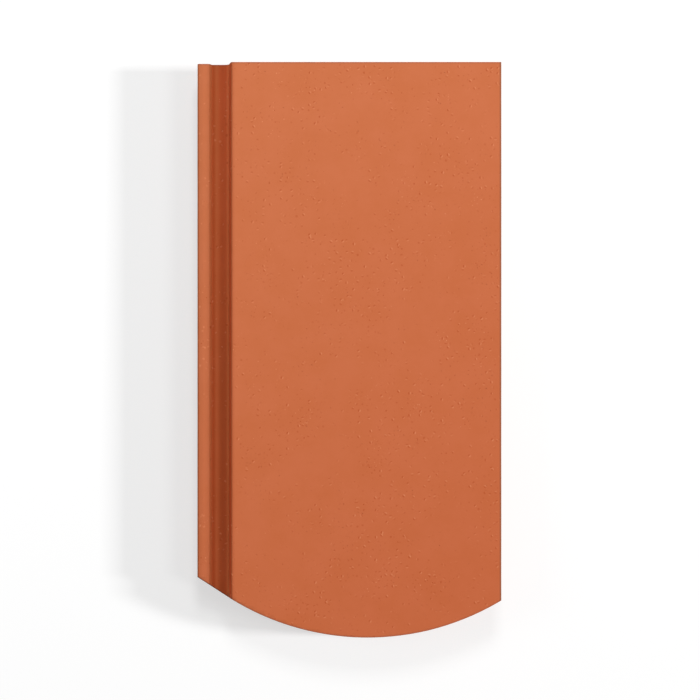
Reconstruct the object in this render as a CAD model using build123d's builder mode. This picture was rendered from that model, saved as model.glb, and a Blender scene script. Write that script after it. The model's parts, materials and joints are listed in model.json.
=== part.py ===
"""Interlocking beaver-tail roof tile in fired clay, one solid.

Millimetres. The tile lies face up. X runs across it, from the water lock on the left to the cover
lock on the right, +Y points to the head and +Z up. The origin is the middle of its bounding box at
the lowest level, which is the tip of the hanging nibs.

The tile is extruded, so its cross-section is the same all along. The section is drawn first, then
the column is cut off square at the head and by an arc at the tail, and the nibs are added.
"""

from build123d import *
import os
from math import radians, tan

os.makedirs("parts", exist_ok=True)

# Whole tile
length = 400.0  # down the middle of the face, from the head to the tip of the tail
cover_width = 190.0  # from one tile to the next along a course
joint = 2.0  # left open between the faces of one tile and the next
thickness = 15.0  # of the plate

# Water lock: the low rebate along the left edge that carries rain away under the joint
lock_width = 24.0  # from the outer edge to the face of the plate
base_thickness = 5.6  # of the clay under the channel
rim_width = 9.9
rim_height = 8.8  # above the underside
rim_flank_run = 0.8  # how far the rim's inner side leans
strip_width = 2.8  # of the strip that slopes up to the foot of the wall
strip_rise = 0.95
wall_run = 2.2  # how far the wall up to the face leans

# Cover lock: the flange along the right edge that lies over the neighbour's water lock
side_play = 1.6  # between the rim of one tile and the cover lock of the next
seat_play = 0.8  # between the cover lock and what lies under it

edge_land = 3.0  # upright part of the right edge, above the side that leans like the wall

# Rounded long edges
face_edge_radius = 1.5  # where the wall meets the face
arris_radius = 0.4  # of the right edge, which is the sharpest
land_radius = 1.0  # under the upright part of the right edge
rim_edge_radius = 1.3
rim_shoulder_radius = 2.4
rim_foot_radius = 0.8
strip_radius = 2.0  # where the strip leaves the channel
wall_foot_radius = 2.0
base_edge_radius = 1.5
lip_radius = 1.2
seat_radius = 0.8  # where the lip meets the seat over the rim
recess_radius = 2.0

# Tail: an arc over the plate that runs on as a straight cut across the water lock
tail_radius = 180.5
tail_shift = 1.0  # from the middle of the plate's face to the middle of the arc
straight_cut_angle = 33.0
tail_draft = 11.0  # the cut face runs out towards the underside

# Hanging nibs under the head, which hook over the batten
nib_spacing = 96.0
nib_width = 32.0
nib_height = 14.0
nib_setback = 5.0  # from the head to the root of a nib
nib_root = 17.0  # length of a nib where it leaves the underside
nib_tip = 10.0  # and at its tip
nib_tip_radius = 3.0
nib_edge_radius = 1.5  # down the sides of a nib

# Levels
underside = nib_height
face = underside + thickness
channel = underside + base_thickness
rim_top = underside + rim_height
strip_top = channel + strip_rise
flange_bottom = rim_top + seat_play
lip_bottom = strip_top + seat_play

# Places across the tile
width = cover_width + lock_width - joint  # over both locks
left = -width / 2
right = width / 2
rim_foot = left + rim_width
plate_left = left + lock_width
wall_foot = plate_left - wall_run
strip_start = wall_foot - strip_width
recess_wall = left + cover_width - side_play
lip_foot = rim_foot + cover_width + side_play
wall_lean = wall_run / (face - strip_top)
lip_side = right - wall_lean * (face - lip_bottom)

# Places along the tile
tail_flare = thickness * tan(radians(tail_draft))
head = (length + tail_flare) / 2
tail = head - length
arc_middle = (plate_left + right) / 2 + tail_shift
nib_hook = head - nib_setback - nib_root
nib_middles = (-nib_spacing / 2, nib_spacing / 2)
spare = thickness  # left on the extruded column for the tail cut
beyond = 2 * spare + tail_flare  # how far the tail cut runs past the tile

# One hanging nib, with its root at height 0 and an upright face towards the tail
with BuildPart() as nib:
    with BuildSketch(Plane.YZ):
        with BuildLine():
            FilletPolyline(
                (0, 0),
                (0, -nib_height),
                (nib_tip, -nib_height),
                (nib_root, 0),
                radius=(0, nib_tip_radius, nib_tip_radius, 0),
                close=True,
            )
        make_face()
    extrude(amount=nib_width / 2, both=True)
    root = nib.faces().sort_by(Axis.Z)[-1]
    fillet((nib.edges() - root.edges()).filter_by(Axis.X, reverse=True), radius=nib_edge_radius)

with BuildPart() as roof_tile:
    # The extruded column, a little longer than the tile
    with BuildSketch(Plane.XZ.offset(-head)):
        with BuildLine():
            corners = [
                ((left, underside), base_edge_radius),
                ((left, rim_top), rim_edge_radius),
                ((rim_foot - rim_flank_run, rim_top), rim_shoulder_radius),
                ((rim_foot, channel), rim_foot_radius),
                ((strip_start, channel), strip_radius),
                ((wall_foot, strip_top), wall_foot_radius),
                ((plate_left, face), face_edge_radius),
                ((right, face), arris_radius),
                ((right, face - edge_land), land_radius),
                ((lip_side, lip_bottom), lip_radius),
                ((lip_foot, lip_bottom), lip_radius),
                ((lip_foot - rim_flank_run, flange_bottom), seat_radius),
                ((recess_wall, flange_bottom), recess_radius),
                ((recess_wall, underside), base_edge_radius),
            ]
            FilletPolyline(
                *[point for point, radius in corners],
                radius=[radius for point, radius in corners],
                close=True,
            )
        make_face()
    extrude(amount=length + spare)

    # The tail, cut along the arc and its tangent by a face that leans outwards going down
    with BuildSketch(Plane.XY.offset(face)):
        with BuildLine():
            arc = CenterArc(
                (arc_middle, tail + tail_radius),
                tail_radius,
                270 - straight_cut_angle,
                2 * straight_cut_angle,
            )
            run = (arc @ 0).X - left + beyond
            Polyline(
                arc @ 0,
                (left - beyond, (arc @ 0).Y + run * tan(radians(straight_cut_angle))),
                (left - beyond, tail - beyond),
                (right + beyond, tail - beyond),
                (right + beyond, (arc @ 1).Y),
                arc @ 1,
            )
        make_face()
    extrude(amount=-thickness, taper=tail_draft, mode=Mode.SUBTRACT)

    # The hanging nibs under the head
    with Locations(*[(x, nib_hook, underside) for x in nib_middles]):
        add(nib.part)

roof_tile.part.label = "roof_tile"
export_step(roof_tile.part, "parts/roof_tile.step")
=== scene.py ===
"""Looks of a fired clay roof tile: its skin with pores and kiln clouds, its cut ends, and a stage."""

import json
import random
from math import atan2, cos, hypot, pi, radians, sin, tan

import bpy
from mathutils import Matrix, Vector


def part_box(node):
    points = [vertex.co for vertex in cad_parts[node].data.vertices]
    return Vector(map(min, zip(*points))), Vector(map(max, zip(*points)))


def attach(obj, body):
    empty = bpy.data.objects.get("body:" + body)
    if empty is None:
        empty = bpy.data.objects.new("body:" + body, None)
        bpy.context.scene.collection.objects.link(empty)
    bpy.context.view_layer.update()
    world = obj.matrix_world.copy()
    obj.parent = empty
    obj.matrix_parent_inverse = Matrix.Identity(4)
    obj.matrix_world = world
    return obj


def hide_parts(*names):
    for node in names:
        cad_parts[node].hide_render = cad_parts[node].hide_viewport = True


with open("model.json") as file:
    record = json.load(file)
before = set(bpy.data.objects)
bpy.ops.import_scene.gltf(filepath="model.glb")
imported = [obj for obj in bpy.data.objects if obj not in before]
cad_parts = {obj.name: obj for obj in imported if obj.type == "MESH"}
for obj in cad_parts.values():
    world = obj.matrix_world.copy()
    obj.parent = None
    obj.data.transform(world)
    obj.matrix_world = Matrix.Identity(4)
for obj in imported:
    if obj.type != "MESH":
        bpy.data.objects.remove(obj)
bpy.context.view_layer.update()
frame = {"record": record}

bl_info = {
    "name": "Clay roof tile",
    "version": (1, 0, 0),
    "blender": (4, 5, 0),
    "location": "3D View > Sidebar > Roof Tile",
    "description": "Dresses an interlocking beaver-tail tile as fired clay, on a plain stage",
    "category": "Object",
}

NODE = "roof_tile"
MM = 0.001
NEAR = 0.01 * MM  # Points closer than this are taken for one
LEVEL = 0.999  # Least upward part of the normal of a level face
LOW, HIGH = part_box(NODE)


def mount(name):
    """Where the record puts a mount."""
    return Vector(next(m["pos_m"] for m in frame["record"]["mounts"] if m["name"] == name))


# Levels and places of the tile, from the packed model
LEFT = LOW.x
RIGHT = HIGH.x
HEAD = HIGH.y
FACE = HIGH.z
UNDERSIDE = mount("underside").z


def size(name, description, millimetres):
    """A length that a user may change."""
    return bpy.props.FloatProperty(
        name=name, description=description, default=millimetres * MM, unit="LENGTH")


def turn(name, description, degrees):
    """An angle that a user may change."""
    return bpy.props.FloatProperty(
        name=name, description=description, default=radians(degrees), subtype="ANGLE")


def tone(name, description, red, green, blue):
    """A colour that a user may change."""
    return bpy.props.FloatVectorProperty(
        name=name, description=description, size=3, subtype="COLOR", default=(red, green, blue))


def level(name, description, share):
    """An amount of light that a user may change, where 1 shows a colour as it is written."""
    return bpy.props.FloatProperty(name=name, description=description, default=share, min=0)


class SectionSizes(bpy.types.PropertyGroup):
    """Sizes of the section, the tail and the nibs, as in the solid"""

    length: size("Length", "Down the middle of the face", 400)
    lock_width: size("Lock width", "From the left edge to the face", 24)
    cover_width: size("Cover width", "From one tile to the next", 190)
    base_thickness: size("Base", "Clay under the channel", 5.6)
    rim_width: size("Rim width", "Width of the left rim", 9.9)
    rim_height: size("Rim height", "Of the left rim above the underside", 8.8)
    rim_run: size("Rim run", "How far the rim's flank leans", 0.8)
    strip_width: size("Strip width", "Sloping strip at the foot of the wall", 2.8)
    strip_rise: size("Strip rise", "How far that strip rises", 0.95)
    wall_run: size("Wall run", "How far the wall up to the face leans", 2.2)
    side_play: size("Side play", "Between the two locks, sideways", 1.6)
    seat_play: size("Seat play", "Between the two locks, in height", 0.8)
    edge_land: size("Edge land", "Upright part of the right edge", 3)
    face_edge: size("Face edge", "Radius where the wall meets the face", 1.5)
    arris: size("Arris", "Radius of the right edge", 0.4)
    land_edge: size("Land edge", "Radius under the upright part of the right edge", 1)
    rim_edge: size("Rim edge", "Radius of the left edge", 1.3)
    rim_shoulder: size("Rim shoulder", "Radius between the rim and its flank", 2.4)
    rim_foot: size("Rim foot", "Radius at the foot of the rim", 0.8)
    strip_start: size("Strip start", "Radius where the strip leaves the channel", 2)
    wall_foot: size("Wall foot", "Radius at the foot of the wall", 2)
    base_edge: size("Base edge", "Radius of the lower edges", 1.5)
    lip_edge: size("Lip edge", "Radius of the right lip's edges", 1.2)
    seat_edge: size("Seat edge", "Radius where the lip meets its seat", 0.8)
    recess_edge: size("Recess edge", "Radius inside the right recess", 2)
    tail_radius: size("Tail radius", "Of the arc that ends the face", 180.5)
    tail_shift: size("Tail shift", "From the middle of the face to the arc's", 1)
    cut_angle: turn("Cut angle", "Of the straight cut over the left lock", 33)
    tail_draft: turn("Tail draft", "How far the tail's cut face leans", 11)
    nib_spacing: size("Nib spacing", "Between the hanging nibs", 96)
    nib_width: size("Nib width", "Across the tile", 32)
    nib_setback: size("Nib setback", "From the head to a nib", 5)
    nib_root: size("Nib root", "Length of a nib at its root", 17)
    nib_tip: size("Nib tip", "Length of a nib at its tip", 10)
    nib_tip_edge: size("Nib tip edge", "Radius across a nib's tip", 3)
    nib_side_edge: size("Nib side edge", "Radius down a nib's sides", 1.5)


class ClaySizes(bpy.types.PropertyGroup):
    """Sizes of the relief that extruding and firing leave"""

    cell: size("Cell", "Usual distance between places that may hold a pore", 3.2)
    cell_spread: size("Cell spread", "How unevenly those places lie", 1)
    broken_edge: size("Broken edge", "Width of the broken edge round the cut ends", 0.25)
    pore_share: bpy.props.FloatProperty(
        name="Pore share", description="Share of the places that hold a pore", default=0.11,
        subtype="FACTOR")
    pore_radius: size("Pore radius", "Radius of a usual pore", 0.34)
    pore_depth: size("Pore depth", "Depth of a usual pore", 0.3)
    clusters: bpy.props.IntProperty(
        name="Clusters", description="Groups in which the pores gather", default=60)
    swell: size("Swell", "Height of the slow unevenness", 0.12)
    swell_length: size("Swell length", "Size of one swell", 45)
    seed: bpy.props.IntProperty(name="Seed", description="Changes where the pores lie", default=7)


class ClayColours(bpy.types.PropertyGroup):
    """Colours of the fired clay, some of them painted light and shade"""

    body: tone("Body", "Usual colour", 0.617, 0.176, 0.0722)
    cloud: tone("Cloud", "What a kiln cloud leaves of the colour", 0.97, 0.95, 0.89)
    # Painted shade: darker and redder towards the right side and the tail
    flame: tone("Flame", "What the hotter right side and tail leave of the colour", 0.97, 0.84, 0.795)
    grit: tone("Grit", "Dark grains", 0.42, 0.055, 0.01)
    chalk: tone("Chalk", "Pale grains", 0.76, 0.277, 0.135)
    # From the rim to the brow, colours across the left lock: partly the clay's own deeper red in the
    # channel, partly painted light on the shoulder, band and strip, and painted shade on the foot, wall
    # and brow
    rim: tone("Rim", "Top of the rim", 0.588, 0.170, 0.0715)
    shoulder: tone("Shoulder", "Rounded edge of the rim towards the channel", 0.655, 0.186, 0.068)
    foot: tone("Foot", "Channel along the rim", 0.555, 0.109, 0.033)
    band: tone("Band", "Paler band of the channel", 0.60, 0.144, 0.049)
    channel: tone("Channel", "Middle of the channel", 0.641, 0.123, 0.0414)
    strip: tone("Strip", "Strip at the foot of the wall", 0.78, 0.192, 0.0704)
    # Painted shade: the channel and the strip grow darker towards the tail
    channel_falloff_shade: tone("ChannelShade", "What is left of the channel's colour towards the tail", 0.82, 0.91, 0.86)
    wall: tone("Wall", "Wall up to the face", 0.66, 0.110, 0.031)
    brow: tone("Brow", "Rounded edge between the wall and the face", 0.53, 0.134, 0.053)
    # Painted shade: dark lines along the right edge and the two ends
    arris: tone("Arris", "Sharp edges, fired darker", 0.20, 0.08, 0.045)
    # Painted shadow: a dark line along the straight cut over the left lock
    cut_edge_shade: tone("CutEdgeShade", "Edge of the straight cut over the left lock", 0.10, 0.03, 0.014)
    torn: tone("Torn", "Clay of the cut ends", 0.49, 0.118, 0.043)
    shaved: tone("Shaved", "Ridges of the cut ends", 0.55, 0.137, 0.052)


class StageSizes(bpy.types.PropertyGroup):
    """Camera, lamps and floor, each lamp by the light that it throws on the face"""

    centre: bpy.props.FloatVectorProperty(
        name="Centre", description="The point of the face in the middle of the picture", size=2,
        default=(0.81 * MM, 1.29 * MM), subtype="XYZ", unit="LENGTH")
    distance: size("Camera distance", "From the face to the camera", 945)
    view_width: size("View width", "What the picture's width shows of the face", 486.4)
    key: level("Key light", "Low lamp on the right", 0.395)
    fill: level("Fill light", "Higher lamp on the right", 0.135)
    head: level("Head light", "Lamp past the head", 0.26)
    left: level("Left light", "Lamp on the left", 0.075)
    sky: level("Surrounding light", "Even light from all sides", 0.13)
    floor_side: size("Floor side", "Side of the floor", 12000)
    floor_lift: level("Floor lift", "Light added to the floor where the camera sees it", 0.58)
    floor_near: size("Floor near", "How far from the tile the floor keeps shadows in full", 400)
    floor_far: size("Floor far", "How far from the tile the floor is plain white", 1200)


def start_edit(piece):
    """Puts one object, and nothing else, in edit mode with nothing selected."""
    bpy.ops.object.select_all(action="DESELECT")
    piece.select_set(True)
    bpy.context.view_layer.objects.active = piece
    bpy.ops.object.mode_set(mode="EDIT")
    bpy.ops.mesh.select_all(action="DESELECT")


def pick(piece, kind, wanted):
    """Selects the vertices, edges or faces that pass the test, and counts them."""
    modes = {"vertices": "VERT", "edges": "EDGE", "polygons": "FACE"}
    bpy.ops.mesh.select_mode(type=modes[kind])
    bpy.ops.mesh.select_all(action="DESELECT")
    bpy.ops.object.mode_set(mode="OBJECT")
    count = 0
    for element in getattr(piece.data, kind):
        if wanted(element):
            element.select = True
            count += 1
    bpy.ops.object.mode_set(mode="EDIT")
    return count


def pick_edges(piece, wanted):
    """Selects the edges whose two ends pass the test."""
    points = piece.data.vertices
    return pick(piece, "edges", lambda e: wanted(points[e.vertices[0]].co, points[e.vertices[1]].co))


def move(x=0.0, y=0.0, z=0.0):
    """Moves what is selected."""
    bpy.ops.transform.translate(value=(x, y, z))


def extrude(x=0.0, z=0.0):
    """Extrudes what is selected by a step across the tile and up."""
    bpy.ops.mesh.extrude_region_move(TRANSFORM_OT_translate={"value": (x, 0, z)})


def slice_mesh(point, normal, **options):
    """Cuts what is selected by a plane."""
    bpy.ops.mesh.bisect(plane_co=point, plane_no=normal, threshold=NEAR / 10, **options)


def round_edges(radius, bend, segments):
    """Rounds the selected edges, where the surface bends by the given angle."""
    offset = radius * tan(bend / 2)
    bpy.ops.mesh.bevel(
        offset_type="OFFSET", offset=offset, segments=segments, profile=0.5, affect="EDGES")


def uneven_places(low, high, step, spread, chance):
    """Places between low and high about a step apart, each a little off."""
    count = max(2, round((high - low) / step))
    return [low + (high - low) * n / count + chance.uniform(-spread, spread) for n in range(1, count)]


def section_corners(s):
    """Corners of the section with their radii, from the left end of the face to its right end."""
    rim_foot = LEFT + s.rim_width
    rim_top = UNDERSIDE + s.rim_height
    channel = UNDERSIDE + s.base_thickness
    strip_top = channel + s.strip_rise
    plate_left = LEFT + s.lock_width
    wall_foot = plate_left - s.wall_run
    seat = rim_top + s.seat_play
    lip_bottom = strip_top + s.seat_play
    recess_wall = LEFT + s.cover_width - s.side_play
    lip_foot = rim_foot + s.cover_width + s.side_play
    lip_side = RIGHT - s.wall_run / (FACE - strip_top) * (FACE - lip_bottom)
    return [
        (plate_left, FACE, s.face_edge),
        (wall_foot, strip_top, s.wall_foot),
        (wall_foot - s.strip_width, channel, s.strip_start),
        (rim_foot, channel, s.rim_foot),
        (rim_foot - s.rim_run, rim_top, s.rim_shoulder),
        (LEFT, rim_top, s.rim_edge),
        (LEFT, UNDERSIDE, s.base_edge),
        (recess_wall, UNDERSIDE, s.base_edge),
        (recess_wall, seat, s.recess_edge),
        (lip_foot - s.rim_run, seat, s.seat_edge),
        (lip_foot, lip_bottom, s.lip_edge),
        (lip_side, lip_bottom, s.lip_edge),
        (RIGHT, FACE - s.edge_land, s.land_edge),
        (RIGHT, FACE, s.arris),
    ]


def extrude_column(s):
    """Draws the face, extrudes its long edge all round the section, and rounds the long edges."""
    corners = section_corners(s)
    length = s.length + 2 * s.tail_radius  # Long enough for every cut of the tail
    sharp = radians(50)  # A corner that bends more gets more segments
    bpy.ops.object.select_all(action="DESELECT")
    bpy.ops.mesh.primitive_plane_add(size=1)
    piece = bpy.context.active_object
    piece.name = "clay_tile"
    start_edit(piece)
    bpy.ops.mesh.select_all(action="SELECT")
    bpy.ops.transform.resize(value=(RIGHT - corners[0][0], length, 1))
    move((RIGHT + corners[0][0]) / 2, HEAD - length / 2, FACE)
    pick_edges(piece, lambda a, b: max(a.x, b.x) < corners[0][0] + NEAR)
    for (x, z, _), (next_x, next_z, _) in zip(corners, corners[1:]):
        extrude(x=next_x - x, z=next_z - z)
    bpy.ops.mesh.select_all(action="SELECT")
    bpy.ops.mesh.remove_doubles(threshold=NEAR)
    bpy.ops.mesh.normals_make_consistent(inside=False)
    ring = zip([corners[-1]] + corners[:-1], corners, corners[1:] + [corners[0]])
    for (before_x, before_z, _), (x, z, radius), (after_x, after_z, _) in ring:
        bend = abs(atan2(z - before_z, x - before_x) - atan2(after_z - z, after_x - x))
        bend = min(bend, 2 * pi - bend)
        pick_edges(
            piece, lambda a, b: max(hypot(end.x - x, end.z - z) for end in (a, b)) < NEAR)
        round_edges(radius, bend, 4 if bend > sharp else 2)
    for end in (HEAD, HEAD - length):
        pick_edges(piece, lambda a, b: abs(a.y - end) < NEAR and abs(b.y - end) < NEAR)
        bpy.ops.mesh.edge_face_add()
    bpy.ops.mesh.select_all(action="SELECT")
    bpy.ops.mesh.normals_make_consistent(inside=False)
    return piece


def cut_tail(piece, s):
    """Cuts the tail by one plane after another along the arc, the last of them across the left lock."""
    arc_x = (LEFT + s.lock_width + RIGHT) / 2 + s.tail_shift
    arc_y = HEAD - s.length + s.tail_radius
    steps = 16
    angles = [s.cut_angle * n / steps for n in range(-steps, steps + 1)]
    for angle in sorted(angles, key=abs):
        across = Vector((sin(angle), -cos(angle), 0))
        bpy.ops.mesh.select_all(action="SELECT")
        slice_mesh(
            Vector((arc_x, arc_y, FACE)) + across * s.tail_radius,
            across * cos(s.tail_draft) + Vector((0, 0, sin(s.tail_draft))),
            use_fill=True, clear_outer=True)
    return arc_x, arc_y


def add_nibs(piece, s):
    """Extrudes the two hanging nibs from the underside and rounds them."""
    hook = HEAD - s.nib_setback - s.nib_root
    sides = [m * s.nib_spacing / 2 + n * s.nib_width / 2 for m in (-1, 1) for n in (-1, 1)]

    def on_underside(face):
        return face.normal.z < -LEVEL and abs(face.center.z - UNDERSIDE) < NEAR

    def in_nib(point):
        across = abs(abs(point.x) - s.nib_spacing / 2) < s.nib_width / 2
        return across and hook < point.y < hook + s.nib_root

    cuts = [((x, 0, 0), (1, 0, 0)) for x in sides]
    cuts += [((0, y, 0), (0, 1, 0)) for y in (hook, hook + s.nib_root)]
    for place, way in cuts:
        pick(piece, "polygons", on_underside)
        slice_mesh(place, way)
    pick(piece, "polygons", lambda f: in_nib(f.center) and on_underside(f))
    extrude(z=-UNDERSIDE)
    pick_edges(piece, lambda a, b: max(a.z, b.z) < NEAR and min(a.y, b.y) > hook + s.nib_root - NEAR)
    move(y=s.nib_tip - s.nib_root)
    lean = atan2(UNDERSIDE, s.nib_root - s.nib_tip)
    for y, bend in ((hook, pi / 2), (hook + s.nib_tip, lean)):
        pick_edges(
            piece, lambda a, b: max(a.z, b.z, abs(a.y - y), abs(b.y - y)) < NEAR)
        round_edges(s.nib_tip_edge, bend, 4)
    pick_edges(
        piece,
        lambda a, b: min(a.z, b.z) < UNDERSIDE - NEAR and any(
            max(abs(a.x - x), abs(b.x - x)) < NEAR for x in sides))
    round_edges(s.nib_side_edge, pi / 2, 3)


def cut_cells(piece, s, clay, arc, chance):
    """Breaks the edges of the cut ends, then cuts the skin in uneven cells."""
    pick(piece, "polygons", lambda f: abs(f.normal.y) > 0.5 and f.center.z > UNDERSIDE)
    bpy.ops.mesh.region_to_loop()
    bpy.ops.mesh.bevel(offset=clay.broken_edge, segments=2, affect="EDGES", clamp_overlap=True)
    off_line = clay.cell_spread / 3
    face_left = LEFT + s.lock_width + s.face_edge
    face_right = RIGHT - 2 * s.arris
    columns = uneven_places(face_left, face_right, clay.cell, off_line, chance)
    for x in [face_left] + columns + [face_right]:
        pick(piece, "polygons", lambda f: f.normal.z > LEVEL and abs(f.center.z - FACE) < NEAR)
        slice_mesh((x, 0, 0), (1, 0, 0))
    low = arc[1] - s.tail_radius
    rows = uneven_places(low, HEAD, clay.cell, off_line, chance)
    for y in [low + 2 * clay.broken_edge] + rows + [HEAD - 2 * clay.broken_edge]:
        bpy.ops.mesh.select_all(action="SELECT")
        slice_mesh((0, y, 0), (0, 1, 0))


def inside_face(point, s, arc, border):
    """Whether a point of the face is at least a border away from its outline."""
    return (
        abs(point.z - FACE) < NEAR
        and LEFT + s.lock_width + border < point.x < RIGHT - border
        and point.y < HEAD - border
        and (point.y > arc[1] or hypot(point.x - arc[0], point.y - arc[1]) < s.tail_radius - border))


def add_pores(piece, s, clay, arc, chance):
    """Sinks pinholes into the face at places picked by chance, more of them inside clusters."""
    pick(piece, "vertices", lambda v: inside_face(v.co, s, arc, clay.cell))
    bpy.ops.transform.vertex_random(offset=clay.cell_spread, seed=clay.seed, wait_for_input=False)
    bpy.ops.transform.resize(value=(1, 1, 0), center_override=(0, 0, FACE))
    bpy.ops.object.mode_set(mode="OBJECT")
    places = [v.co.copy() for v in piece.data.vertices if inside_face(v.co, s, arc, 2 * clay.cell)]
    bpy.ops.object.mode_set(mode="EDIT")
    small, large = 4, 12  # Millimetres from the middle of a cluster to its edge
    clusters = [
        (chance.uniform(LEFT, RIGHT), chance.uniform(LOW.y, HEAD), chance.uniform(small, large) * MM)
        for _ in range(clay.clusters)]
    inside, outside = 3, 0.6  # Times the usual share of places with a pore

    def holds_pore(point):
        near = any(hypot(point.x - x, point.y - y) < reach for x, y, reach in clusters)
        return chance.random() < clay.pore_share * (inside if near else outside)

    def rounded(point):
        return round(point.x / NEAR), round(point.y / NEAR)

    chosen = [place for place in places if holds_pore(place)]
    # Width and depth against a usual pore
    kinds = [(0.7, 0.8), (0.85, 1.0), (1.0, 1.0), (1.3, 1.1), (1.7, 0.9)]
    for number, (share, depth) in enumerate(kinds):
        own = {rounded(place) for place in chosen[number::len(kinds)]}
        if not pick(
                piece, "vertices", lambda v: abs(v.co.z - FACE) < NEAR and rounded(v.co) in own):
            raise RuntimeError("no place for a pore was found")
        width = share * clay.pore_radius
        bpy.ops.mesh.bevel(offset=width, segments=2, profile=0.5, affect="VERTICES")
        # The small faces that the bevel leaves sink in two steps, the second of them to a flat bottom
        pick(
            piece, "polygons",
            lambda f: f.area < 4 * width ** 2 and inside_face(f.center, s, arc, clay.cell))
        for step in (0.8, 0.2):
            bpy.ops.mesh.inset(
                thickness=0.3 * width, depth=-step * depth * clay.pore_depth, use_individual=True)


def socket(sockets, name):
    """The socket of that name that the node shows."""
    return next(s for s in sockets if s.name == name and s.enabled)


def feed(tree, value, target):
    """Links a socket to an input, or writes a value into it."""
    if isinstance(value, bpy.types.NodeSocket):
        tree.links.new(value, target)
    else:
        target.default_value = value


def add_node(tree, kind, settings=None, **inputs):
    """Adds a shader node. Underscores in an input's name stand for spaces."""
    node = tree.nodes.new("ShaderNode" + kind)
    for name, value in (settings or {}).items():
        setattr(node, name, value)
    for name, value in inputs.items():
        feed(tree, value, socket(node.inputs, name.replace("_", " ")))
    return node


def add_group(tree, group, **inputs):
    """Places a node group in a material."""
    return add_node(tree, "Group", {"node_tree": group}, **inputs)


def out(node, name):
    return socket(node.outputs, name)


def start_group(name, inputs, outputs):
    """A shader node group with named sockets."""
    group = bpy.data.node_groups.new(name, "ShaderNodeTree")
    for label, kind, value in inputs:
        made = group.interface.new_socket(name=label, in_out="INPUT", socket_type="NodeSocket" + kind)
        made.default_value = value
    for label, kind in outputs:
        group.interface.new_socket(name=label, in_out="OUTPUT", socket_type="NodeSocket" + kind)
    return group, group.nodes.new("NodeGroupInput"), group.nodes.new("NodeGroupOutput")


def mix_colour(tree, factor, first, second, blend="MIX"):
    """Mixes two colours and gives back the result's socket."""
    kind = {"data_type": "RGBA", "blend_type": blend}
    return out(add_node(tree, "Mix", kind, Factor=factor, A=first, B=second), "Result")


def spread(tree, value, low, high):
    """Stretches a value from a range to 0 to 1."""
    return out(add_node(tree, "MapRange", Value=value, From_Min=low, From_Max=high), "Result")


def blend_values(tree, factor, low, high):
    """A value that goes from low to high as the factor goes from 0 to 1."""
    return out(add_node(tree, "MapRange", Value=factor, To_Min=low, To_Max=high), "Result")


def reckon(tree, operation, *values, kind="Math"):
    """Does a sum on values or sockets, and gives back the result's socket."""
    node = add_node(tree, kind, {"operation": operation})
    for value, target in zip(values, node.inputs):
        feed(tree, value, target)
    return next(s for s in node.outputs if s.enabled)


def reckon_vector(tree, operation, *values):
    """Does a sum on vectors."""
    return reckon(tree, operation, *values, kind="VectorMath")


def multiply(tree, *values):
    """Multiplies two or more values or sockets."""
    result = values[0]
    for value in values[1:]:
        result = reckon(tree, "MULTIPLY", result, value)
    return result


def cloud_and_falloff_group():
    """Deepens a colour in kiln clouds, and as painted shade slowly along one way over the tile."""
    group, given, made = start_group(
        "kiln_clouds",
        [("Vector", "Vector", (0, 0, 0)), ("Color", "Color", (1, 1, 1, 1)),
         ("Cloud", "Color", (0.9, 0.9, 0.9, 1)), ("Flame", "Color", (0.9, 0.9, 0.9, 1)),
         ("Way", "Vector", (1, 0, 0)), ("Reach", "Float", 0.2), ("Scale", "Float", 30.0)],
        [("Color", "Color"), ("Mask", "Float")])
    g = given.outputs
    noise = add_node(group, "TexNoise", Vector=g["Vector"], Scale=g["Scale"], Detail=4.0, Roughness=0.6)
    cloud = spread(group, noise.outputs["Fac"], 0.35, 0.65)
    along = reckon_vector(group, "DOT_PRODUCT", g["Vector"], g["Way"])
    flame = spread(group, along, multiply(group, g["Reach"], -1.0), g["Reach"])
    clouded = mix_colour(group, cloud, g["Color"], g["Cloud"], "MULTIPLY")
    feed(group, mix_colour(group, flame, clouded, g["Flame"], "MULTIPLY"), made.inputs["Color"])
    feed(group, cloud, made.inputs["Mask"])
    return group


def grain_group():
    """Fine grain of the clay: a height."""
    group, given, made = start_group(
        "clay_grain", [("Vector", "Vector", (0, 0, 0)), ("Scale", "Float", 900.0)],
        [("Height", "Float")])
    g = given.outputs
    fine = add_node(group, "TexNoise", Vector=g["Vector"], Scale=g["Scale"], Detail=2.0, Roughness=0.6)
    feed(group, fine.outputs["Fac"], made.inputs["Height"])
    return group


def swarms(tree, where, scale, share):
    """A mask of loose swarms that cover about the given share."""
    softness = 0.08
    noise = add_node(tree, "TexNoise", Vector=where, Scale=scale, Detail=4.0, Roughness=0.75)
    # The noise lies almost all between 0.3 and 0.7
    limit = blend_values(tree, share, 0.7, 0.3)
    return spread(tree, noise.outputs["Fac"], reckon(tree, "SUBTRACT", limit, softness), limit)


def speck_group():
    """Fine specks in loose swarms, some of them dark and the others pale."""
    group, given, made = start_group(
        "clay_specks",
        [("Vector", "Vector", (0, 0, 0)), ("Scale", "Float", 600.0), ("Radius", "Float", 0.2),
         ("Dark Share", "Float", 0.4), ("Swarm Scale", "Float", 60.0), ("Swarm Share", "Float", 0.5)],
        [("Dark", "Float"), ("Pale", "Float")])
    g = given.outputs
    cells = add_node(group, "TexVoronoi", Vector=g["Vector"], Scale=g["Scale"])
    disc = spread(group, cells.outputs["Distance"], g["Radius"], multiply(group, g["Radius"], 0.5))
    split = add_node(group, "SeparateColor", Color=cells.outputs["Color"])
    swarm = swarms(group, g["Vector"], g["Swarm Scale"], g["Swarm Share"])
    strength = multiply(group, split.outputs["Green"], swarm, disc)
    for operation, label in (("LESS_THAN", "Dark"), ("GREATER_THAN", "Pale")):
        own = reckon(group, operation, split.outputs["Red"], g["Dark Share"])
        feed(group, multiply(group, own, strength), made.inputs[label])
    return group


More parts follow.
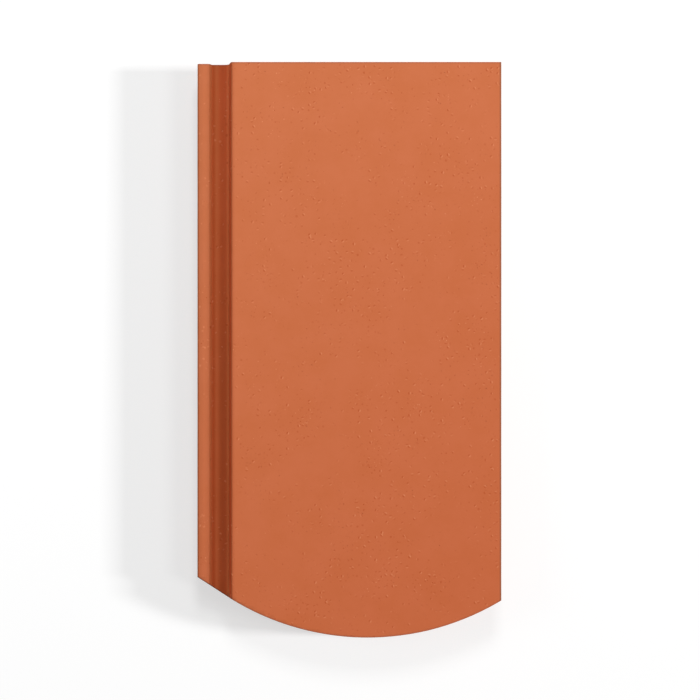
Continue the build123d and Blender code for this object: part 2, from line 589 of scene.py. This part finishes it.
def torn_grain_and_nick_shade_group():
    """Marks where a grain was torn along: each is dark on one side and pale on the other; the dark half
    paints the shade of a small nick, and the pale half is a paler smear.
    """
    group, given, made = start_group(
        "torn_grains",
        [("Vector", "Vector", (0, 0, 0)), ("Scale", "Float", 350.0), ("Radius", "Float", 0.3),
         ("Share", "Float", 0.35), ("Swarm Scale", "Float", 40.0), ("Swarm Share", "Float", 0.6)],
        [("Dark", "Float"), ("Pale", "Float")])
    g = given.outputs
    cells = add_node(group, "TexVoronoi", Vector=g["Vector"], Scale=g["Scale"])
    disc = spread(group, cells.outputs["Distance"], g["Radius"], multiply(group, g["Radius"], 0.75))
    split = add_node(group, "SeparateColor", Color=cells.outputs["Color"])
    there = reckon(group, "LESS_THAN", split.outputs["Blue"], g["Share"])
    # How far a point lies from the middle of its mark, along a way of the mark's own
    offset = reckon_vector(group, "SUBTRACT", g["Vector"], cells.outputs["Position"])
    way = reckon_vector(group, "SUBTRACT", cells.outputs["Color"], (0.5, 0.5, 0.5))
    along = reckon_vector(group, "DOT_PRODUCT", offset, reckon_vector(group, "NORMALIZE", way))
    side = multiply(group, along, g["Scale"])
    swarm = swarms(group, g["Vector"], g["Swarm Scale"], g["Swarm Share"])
    strength = multiply(group, there, swarm, disc)
    # Between an eighth and just over half of full strength, another for each mark
    force = spread(group, split.outputs["Red"], -0.3, 2.1)
    for sign, label in ((-1.0, "Dark"), (1.0, "Pale")):
        half = spread(group, multiply(group, side, sign), 0.0, multiply(group, g["Radius"], 0.25))
        feed(group, multiply(group, half, force, strength), made.inputs[label])
    return group


def drag_group():
    """Lines dragged in the clay along the way in which their pattern is stretched."""
    group, given, made = start_group(
        "drag_lines",
        [("Vector", "Vector", (0, 0, 0)), ("Scale", "Float", 400.0), ("Stretch", "Vector", (1, 1, 1))],
        [("Height", "Float")])
    g = given.outputs
    stretched = reckon_vector(group, "MULTIPLY", g["Vector"], g["Stretch"])
    noise = add_node(
        group, "TexNoise", Vector=stretched, Scale=g["Scale"], Detail=2.0, Roughness=0.5)
    feed(group, noise.outputs["Fac"], made.inputs["Height"])
    return group


def cut_group():
    """Mask of the faces that the wire cut, which look along the tile."""
    group, given, made = start_group(
        "cut_ends", [("Normal", "Vector", (0, 0, 1))], [("Mask", "Float")])
    parts = add_node(group, "SeparateXYZ", Vector=given.outputs["Normal"])
    along = reckon(group, "ABSOLUTE", parts.outputs["Y"])
    feed(group, spread(group, along, 0.5, 0.7), made.inputs["Mask"])
    return group


def lock_tones_and_shade(tree, where, s, colours):
    """Colours across the left lock and a mask of where they go: the channel's deeper red is partly the
    clay's own and partly painted shade, the shoulder, band and strip are painted light, and the foot,
    wall and brow are painted shade.
    """
    parts = add_node(tree, "SeparateXYZ", Vector=where)
    width = s.lock_width + 4 * MM  # Of the tones, which run on a little way over the face
    falloff_length = 0.55 * s.length  # The way down the channel over which the wash comes in
    across = spread(tree, parts.outputs["X"], LEFT, LEFT + width)
    # Places in millimetres from the left edge. The shoulder, band and strip stops are painted light,
    # and the foot, wall and brow stops are painted shade.
    stops = [
        (8.0, "rim"), (9.0, "shoulder"), (9.8, "shoulder"), (10.3, "foot"), (11.6, "foot"),
        (12.9, "band"), (13.6, "band"), (15.8, "channel"), (19.8, "channel"), (21.3, "strip"),
        (22.3, "strip"), (23.0, "wall"), (23.8, "wall"), (24.6, "brow"), (27.0, "body")]
    tones_and_shade = []
    # The second ramp darkens the channel and the strip towards the tail, which is painted shade
    for channel_falloff_shade in ((1, 1, 1), colours.channel_falloff_shade):
        node = add_node(tree, "ValToRGB", Fac=across)
        elements = node.color_ramp.elements
        while len(elements) < len(stops):
            elements.new(1.0)
        for element, (place, name) in zip(elements, stops):
            shares = channel_falloff_shade if name in ("channel", "strip") else (1, 1, 1)
            tone_here = [part * share for part, share in zip(getattr(colours, name), shares)]
            element.position = place * MM / width
            element.color = (*tone_here, 1.0)
        tones_and_shade.append(node.outputs["Color"])
    down = spread(tree, parts.outputs["Y"], HEAD, HEAD - falloff_length)
    # The underside and the lowest part of the left side keep the colour of the body
    above = spread(tree, parts.outputs["Z"], UNDERSIDE + 3 * MM, UNDERSIDE + 4 * MM)
    beside = spread(tree, parts.outputs["X"], LEFT + width, LEFT + width - 0.5 * MM)
    return mix_colour(tree, down, *tones_and_shade), multiply(tree, above, beside)


def edge_shade_group():
    """Masks of narrow bands along the right edge, the two ends, and the straight cut over the lock,
    where dark lines of painted shade go.
    """
    group, given, made = start_group(
        "burnt_arris",
        [("Vector", "Vector", (0, 0, 0)), ("Arc Middle", "Vector", (0, 0, 0)), ("Right", "Float", 0.1),
         ("Head", "Float", 0.2), ("Top", "Float", 0.03), ("Arc Radius", "Float", 0.2),
         ("Cut Way", "Vector", (0, -1, 0)), ("Cut Reach", "Float", 0.2), ("Cut Start", "Float", -0.1),
         ("Width", "Float", 0.001)],
        [("Side", "Float"), ("Ends", "Float"), ("Cut", "Float")])
    g = given.outputs
    parts = add_node(group, "SeparateXYZ", Vector=g["Vector"])
    x, y, z = (parts.outputs[axis] for axis in "XYZ")
    flat = add_node(group, "CombineXYZ", X=x, Y=y, Z=0.0)
    from_arc = reckon_vector(group, "DISTANCE", flat.outputs["Vector"], g["Arc Middle"])
    to_cut = reckon_vector(group, "DOT_PRODUCT", g["Vector"], g["Cut Way"])

    def band(value, limit, share=1.0):
        inner = reckon(group, "SUBTRACT", limit, multiply(group, g["Width"], share))
        return spread(group, value, inner, limit)

    on_tail = reckon(group, "LESS_THAN", y, 0.0)
    on_cut = reckon(group, "LESS_THAN", x, g["Cut Start"])
    on_arc = multiply(group, on_tail, reckon(group, "SUBTRACT", 1.0, on_cut))
    arc = multiply(group, band(from_arc, g["Arc Radius"]), on_arc)
    bands = {
        "Side": multiply(group, band(x, g["Right"]), band(z, g["Top"])),
        "Ends": reckon(group, "MAXIMUM", band(y, g["Head"]), arc),
        "Cut": multiply(group, band(to_cut, g["Cut Reach"], 0.5), on_tail, on_cut),
    }
    for name, mask in bands.items():
        feed(group, mask, made.inputs[name])
    return group


def fired_clay(colours, s, arc):
    """Matt fired clay: kiln clouds, specks, a deeper red in the channel, drag lines and torn ends, with
    light and shade painted across the lock, towards the right side and the tail, along the edges and in
    small nicks.
    """
    material = bpy.data.materials.new("fired_clay")
    material.use_nodes = True
    tree = material.node_tree
    shader = tree.nodes["Principled BSDF"]
    places = add_node(tree, "TexCoord")

    def colour(name):
        return (*getattr(colours, name), 1.0)

    where = places.outputs["Object"]
    # Painted light and shade across the left lock, over the clay's own deeper red in the channel
    tones_and_shade, in_lock = lock_tones_and_shade(tree, where, s, colours)
    # The clouds are the clay's own; the second colour darkens and reddens the face towards the right
    # side and the tail, which is painted shade
    clouds = add_group(
        tree, cloud_and_falloff_group(), Vector=where, Color=mix_colour(tree, in_lock, colour("body"), tones_and_shade),
        Cloud=colour("cloud"), Flame=colour("flame"), Way=(0.6, -0.8, 0), Reach=0.18, Scale=44.0)
    skin = clouds.outputs["Color"]
    marks = [
        add_group(
            tree, speck_group(), Vector=where, Scale=500.0, Radius=0.24, Dark_Share=0.45,
            Swarm_Scale=35.0, Swarm_Share=0.2),
        add_group(
            tree, torn_grain_and_nick_shade_group(), Vector=where, Scale=260.0, Radius=0.3, Share=0.8,
            Swarm_Scale=24.0, Swarm_Share=0.4),
    ]
    # Dark and pale grains; the dark halves of the torn grains also paint the shade of small nicks
    for mark in marks:
        skin = mix_colour(tree, mark.outputs["Dark"], skin, colour("grit"))
        skin = mix_colour(tree, mark.outputs["Pale"], skin, colour("chalk"))
    # The straight cut is a plane, known by the way it faces and how far it lies from the origin
    arc_x, arc_y = arc
    across = Vector((-sin(s.cut_angle), -cos(s.cut_angle), 0))
    cut_way = across * cos(s.tail_draft) + Vector((0, 0, sin(s.tail_draft)))
    cut_start = Vector((arc_x, arc_y, FACE)) + across * s.tail_radius
    edges = add_group(
        tree, edge_shade_group(), Vector=where, Arc_Middle=(arc_x, arc_y, 0), Right=RIGHT, Head=HEAD,
        Top=FACE, Arc_Radius=s.tail_radius, Cut_Way=cut_way, Cut_Reach=cut_way.dot(cut_start),
        Cut_Start=cut_start.x, Width=1.6 * MM)
    # Dark lines along the right edge and the two ends are painted shade
    ends_shade_strength = 0.35
    ends_shade_mask = multiply(tree, edges.outputs["Ends"], ends_shade_strength)
    skin = mix_colour(tree, edges.outputs["Side"], skin, colour("arris"))
    skin = mix_colour(tree, ends_shade_mask, skin, colour("arris"))
    # A dark line along the straight cut is painted shadow
    skin = mix_colour(tree, edges.outputs["Cut"], skin, colour("cut_edge_shade"))
    # The extruder's mouth drags along the tile, the wire and the tail cutter down through its ends
    lines_group = drag_group()
    along = add_group(tree, lines_group, Vector=where, Scale=400.0, Stretch=(1, 0.02, 1))
    down = add_group(tree, lines_group, Vector=where, Scale=650.0, Stretch=(1, 1, 0.1))
    cut = add_group(tree, cut_group(), Normal=places.outputs["Normal"]).outputs["Mask"]
    dragged = multiply(tree, cut, spread(tree, down.outputs["Height"], 0.35, 0.65))
    torn = mix_colour(tree, dragged, colour("torn"), colour("shaved"))
    feed(tree, mix_colour(tree, cut, skin, torn), shader.inputs["Base Color"])
    feed(tree, blend_values(tree, clouds.outputs["Mask"], 0.82, 0.9), shader.inputs["Roughness"])
    grain = add_group(tree, grain_group(), Vector=where, Scale=1100.0)
    fine = add_node(tree, "Bump", Strength=0.25, Distance=0.05 * MM, Height=grain.outputs["Height"])
    lines = add_node(
        tree, "Bump", Strength=0.2, Distance=0.05 * MM, Height=along.outputs["Height"],
        Normal=fine.outputs["Normal"])
    ends = add_node(
        tree, "Bump", Strength=0.4, Distance=0.12 * MM, Height=dragged, Normal=lines.outputs["Normal"])
    feed(tree, ends.outputs["Normal"], shader.inputs["Normal"])
    shader.inputs["Specular IOR Level"].default_value = 0.08
    return material


def seen_rays(tree):
    """1 for rays from the camera, from mirrors and through glass, and 0 for the rest."""
    path = add_node(tree, "LightPath")
    seen = path.outputs["Is Camera Ray"]
    for name in ("Is Glossy Ray", "Is Transmission Ray"):
        seen = reckon(tree, "MAXIMUM", seen, path.outputs[name])
    return seen


def grey(value):
    """A grey as a colour's four numbers."""
    return (value, value, value, 1.0)


def add_floor(sizes):
    """A pale floor that shows white where no shadow falls."""
    bpy.ops.object.select_all(action="DESELECT")
    bpy.ops.mesh.primitive_plane_add(size=sizes.floor_side)
    floor = bpy.context.active_object
    floor.name = "floor"
    material = bpy.data.materials.new("pale_floor")
    material.use_nodes = True
    tree = material.node_tree
    shader = tree.nodes["Principled BSDF"]
    shader.inputs["Roughness"].default_value = 1.0
    shader.inputs["Specular IOR Level"].default_value = 0.0
    shader.inputs["Emission Color"].default_value = grey(1.0)
    # Where it is seen, a part of the floor's white is light of its own, which keeps the shadow faint,
    # and far from the tile, where little light falls, all of it is
    unseen_white, seen_white = 0.8, 0.45
    seen = seen_rays(tree)
    away = reckon_vector(tree, "LENGTH", add_node(tree, "TexCoord").outputs["Object"])
    far = spread(tree, away, sizes.floor_near, sizes.floor_far)
    white = mix_colour(tree, far, grey(seen_white), grey(0.0))
    feed(tree, mix_colour(tree, seen, grey(unseen_white), white), shader.inputs["Base Color"])
    lift = blend_values(tree, far, sizes.floor_lift, 1.0)
    feed(tree, multiply(tree, seen, lift), shader.inputs["Emission Strength"])
    floor.data.materials.append(material)


def add_world(sizes):
    """Even light from all sides, with a white background."""
    world = bpy.data.worlds.new("plain_studio")
    bpy.context.scene.world = world
    world.use_nodes = True
    tree = world.node_tree
    background = tree.nodes["Background"]
    background.inputs["Color"].default_value = grey(1.0)
    feed(tree, blend_values(tree, seen_rays(tree), sizes.sky, 1.0), background.inputs["Strength"])


def add_lamp(name, place, aim, side, power):
    """A square soft lamp."""
    data = bpy.data.lights.new(name, "AREA")
    data.size = side
    data.energy = power
    lamp = bpy.data.objects.new(name, data)
    bpy.context.collection.objects.link(lamp)
    lamp.location = place
    lamp.rotation_euler = (aim - place).to_track_quat("-Z", "Y").to_euler()


def lamp_power(place, aim, share):
    """Power at which a lamp lights a level face by that share of full light."""
    ray = place - aim
    return share * pi * pi * ray.length_squared * ray.length / ray.z


class ROOF_TILE_OT_stage(bpy.types.Operator):
    """Adds the floor, the lamps and the camera"""

    bl_idname = "roof_tile.stage"
    bl_label = "Set the Stage"

    def execute(self, context):
        sizes = context.scene.tile_stage
        aim = Vector((sizes.centre[0], sizes.centre[1], FACE))
        add_floor(sizes)
        add_world(sizes)
        # Heading from straight right, elevation, distance, side, and light on the face of each lamp
        lamps = {
            "key_lamp": (0, 20, 8.0, 0.75, sizes.key),
            "fill_lamp": (0, 46, 4.0, 1.0, sizes.fill),
            "head_lamp": (85, 45, 1.6, 0.4, sizes.head),
            "left_lamp": (180, 35, 1.0, 0.4, sizes.left),
        }
        for name, (heading, height, distance, side, share) in lamps.items():
            heading, height = radians(heading), radians(height)
            across = Vector((cos(heading), sin(heading), 0)) * cos(height)
            place = aim + distance * (across + Vector((0, 0, sin(height))))
            add_lamp(name, place, aim, side, lamp_power(place, aim, share))
        data = bpy.data.cameras.new("camera")
        data.sensor_width = 36
        data.lens = data.sensor_width * sizes.distance / sizes.view_width
        camera = bpy.data.objects.new("camera", data)
        context.collection.objects.link(camera)
        camera.location = aim + Vector((0, 0, sizes.distance))
        context.scene.camera = camera
        context.scene.view_settings.view_transform = "Standard"
        return {"FINISHED"}


class ROOF_TILE_OT_tile(bpy.types.Operator):
    """Makes the tile in fired clay in place of the plain solid"""

    bl_idname = "roof_tile.tile"
    bl_label = "Make the Clay Tile"

    def execute(self, context):
        section = context.scene.tile_section
        clay = context.scene.tile_clay
        chance = random.Random(clay.seed)
        smooth_angle = radians(35)
        piece = extrude_column(section)
        arc = cut_tail(piece, section)
        add_nibs(piece, section)
        cut_cells(piece, section, clay, arc, chance)
        add_pores(piece, section, clay, arc, chance)
        bpy.ops.object.mode_set(mode="OBJECT")
        texture = bpy.data.textures.new("clay_swell", "CLOUDS")
        texture.noise_scale = clay.swell_length
        swell = piece.modifiers.new("swell", "DISPLACE")
        swell.texture = texture
        swell.texture_coords = "LOCAL"
        swell.strength = clay.swell
        bpy.ops.object.modifier_apply(modifier=swell.name)
        bpy.data.textures.remove(texture)
        bpy.ops.object.shade_smooth_by_angle(angle=smooth_angle)
        piece.data.materials.clear()
        piece.data.materials.append(fired_clay(context.scene.tile_colours, section, arc))
        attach(piece, "root")
        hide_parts(NODE)
        return {"FINISHED"}


class ROOF_TILE_PT_panel(bpy.types.Panel):
    """Buttons and sizes of the clay tile"""

    bl_idname = "ROOF_TILE_PT_panel"
    bl_label = "Clay Roof Tile"
    bl_space_type = "VIEW_3D"
    bl_region_type = "UI"
    bl_category = "Roof Tile"

    def draw(self, context):
        layout = self.layout
        for operator in OPERATORS:
            layout.operator(operator.bl_idname)
        for name, group in SETTINGS.items():
            box = layout.box()
            box.label(text=group.__doc__)
            for key in group.__annotations__:
                box.prop(getattr(context.scene, name), key)


SETTINGS = {
    "tile_section": SectionSizes,
    "tile_clay": ClaySizes,
    "tile_colours": ClayColours,
    "tile_stage": StageSizes,
}
OPERATORS = (ROOF_TILE_OT_stage, ROOF_TILE_OT_tile)
CLASSES = (*SETTINGS.values(), *OPERATORS, ROOF_TILE_PT_panel)


def register():
    for cls in CLASSES:
        bpy.utils.register_class(cls)
    for name, group in SETTINGS.items():
        setattr(bpy.types.Scene, name, bpy.props.PointerProperty(type=group))


def unregister():
    for name in SETTINGS:
        delattr(bpy.types.Scene, name)
    for cls in reversed(CLASSES):
        bpy.utils.unregister_class(cls)


def main():
    """Registers the classes and makes everything in order."""
    register()
    bpy.ops.roof_tile.stage()
    bpy.ops.roof_tile.tile()


if __name__ == "__main__":
    main()
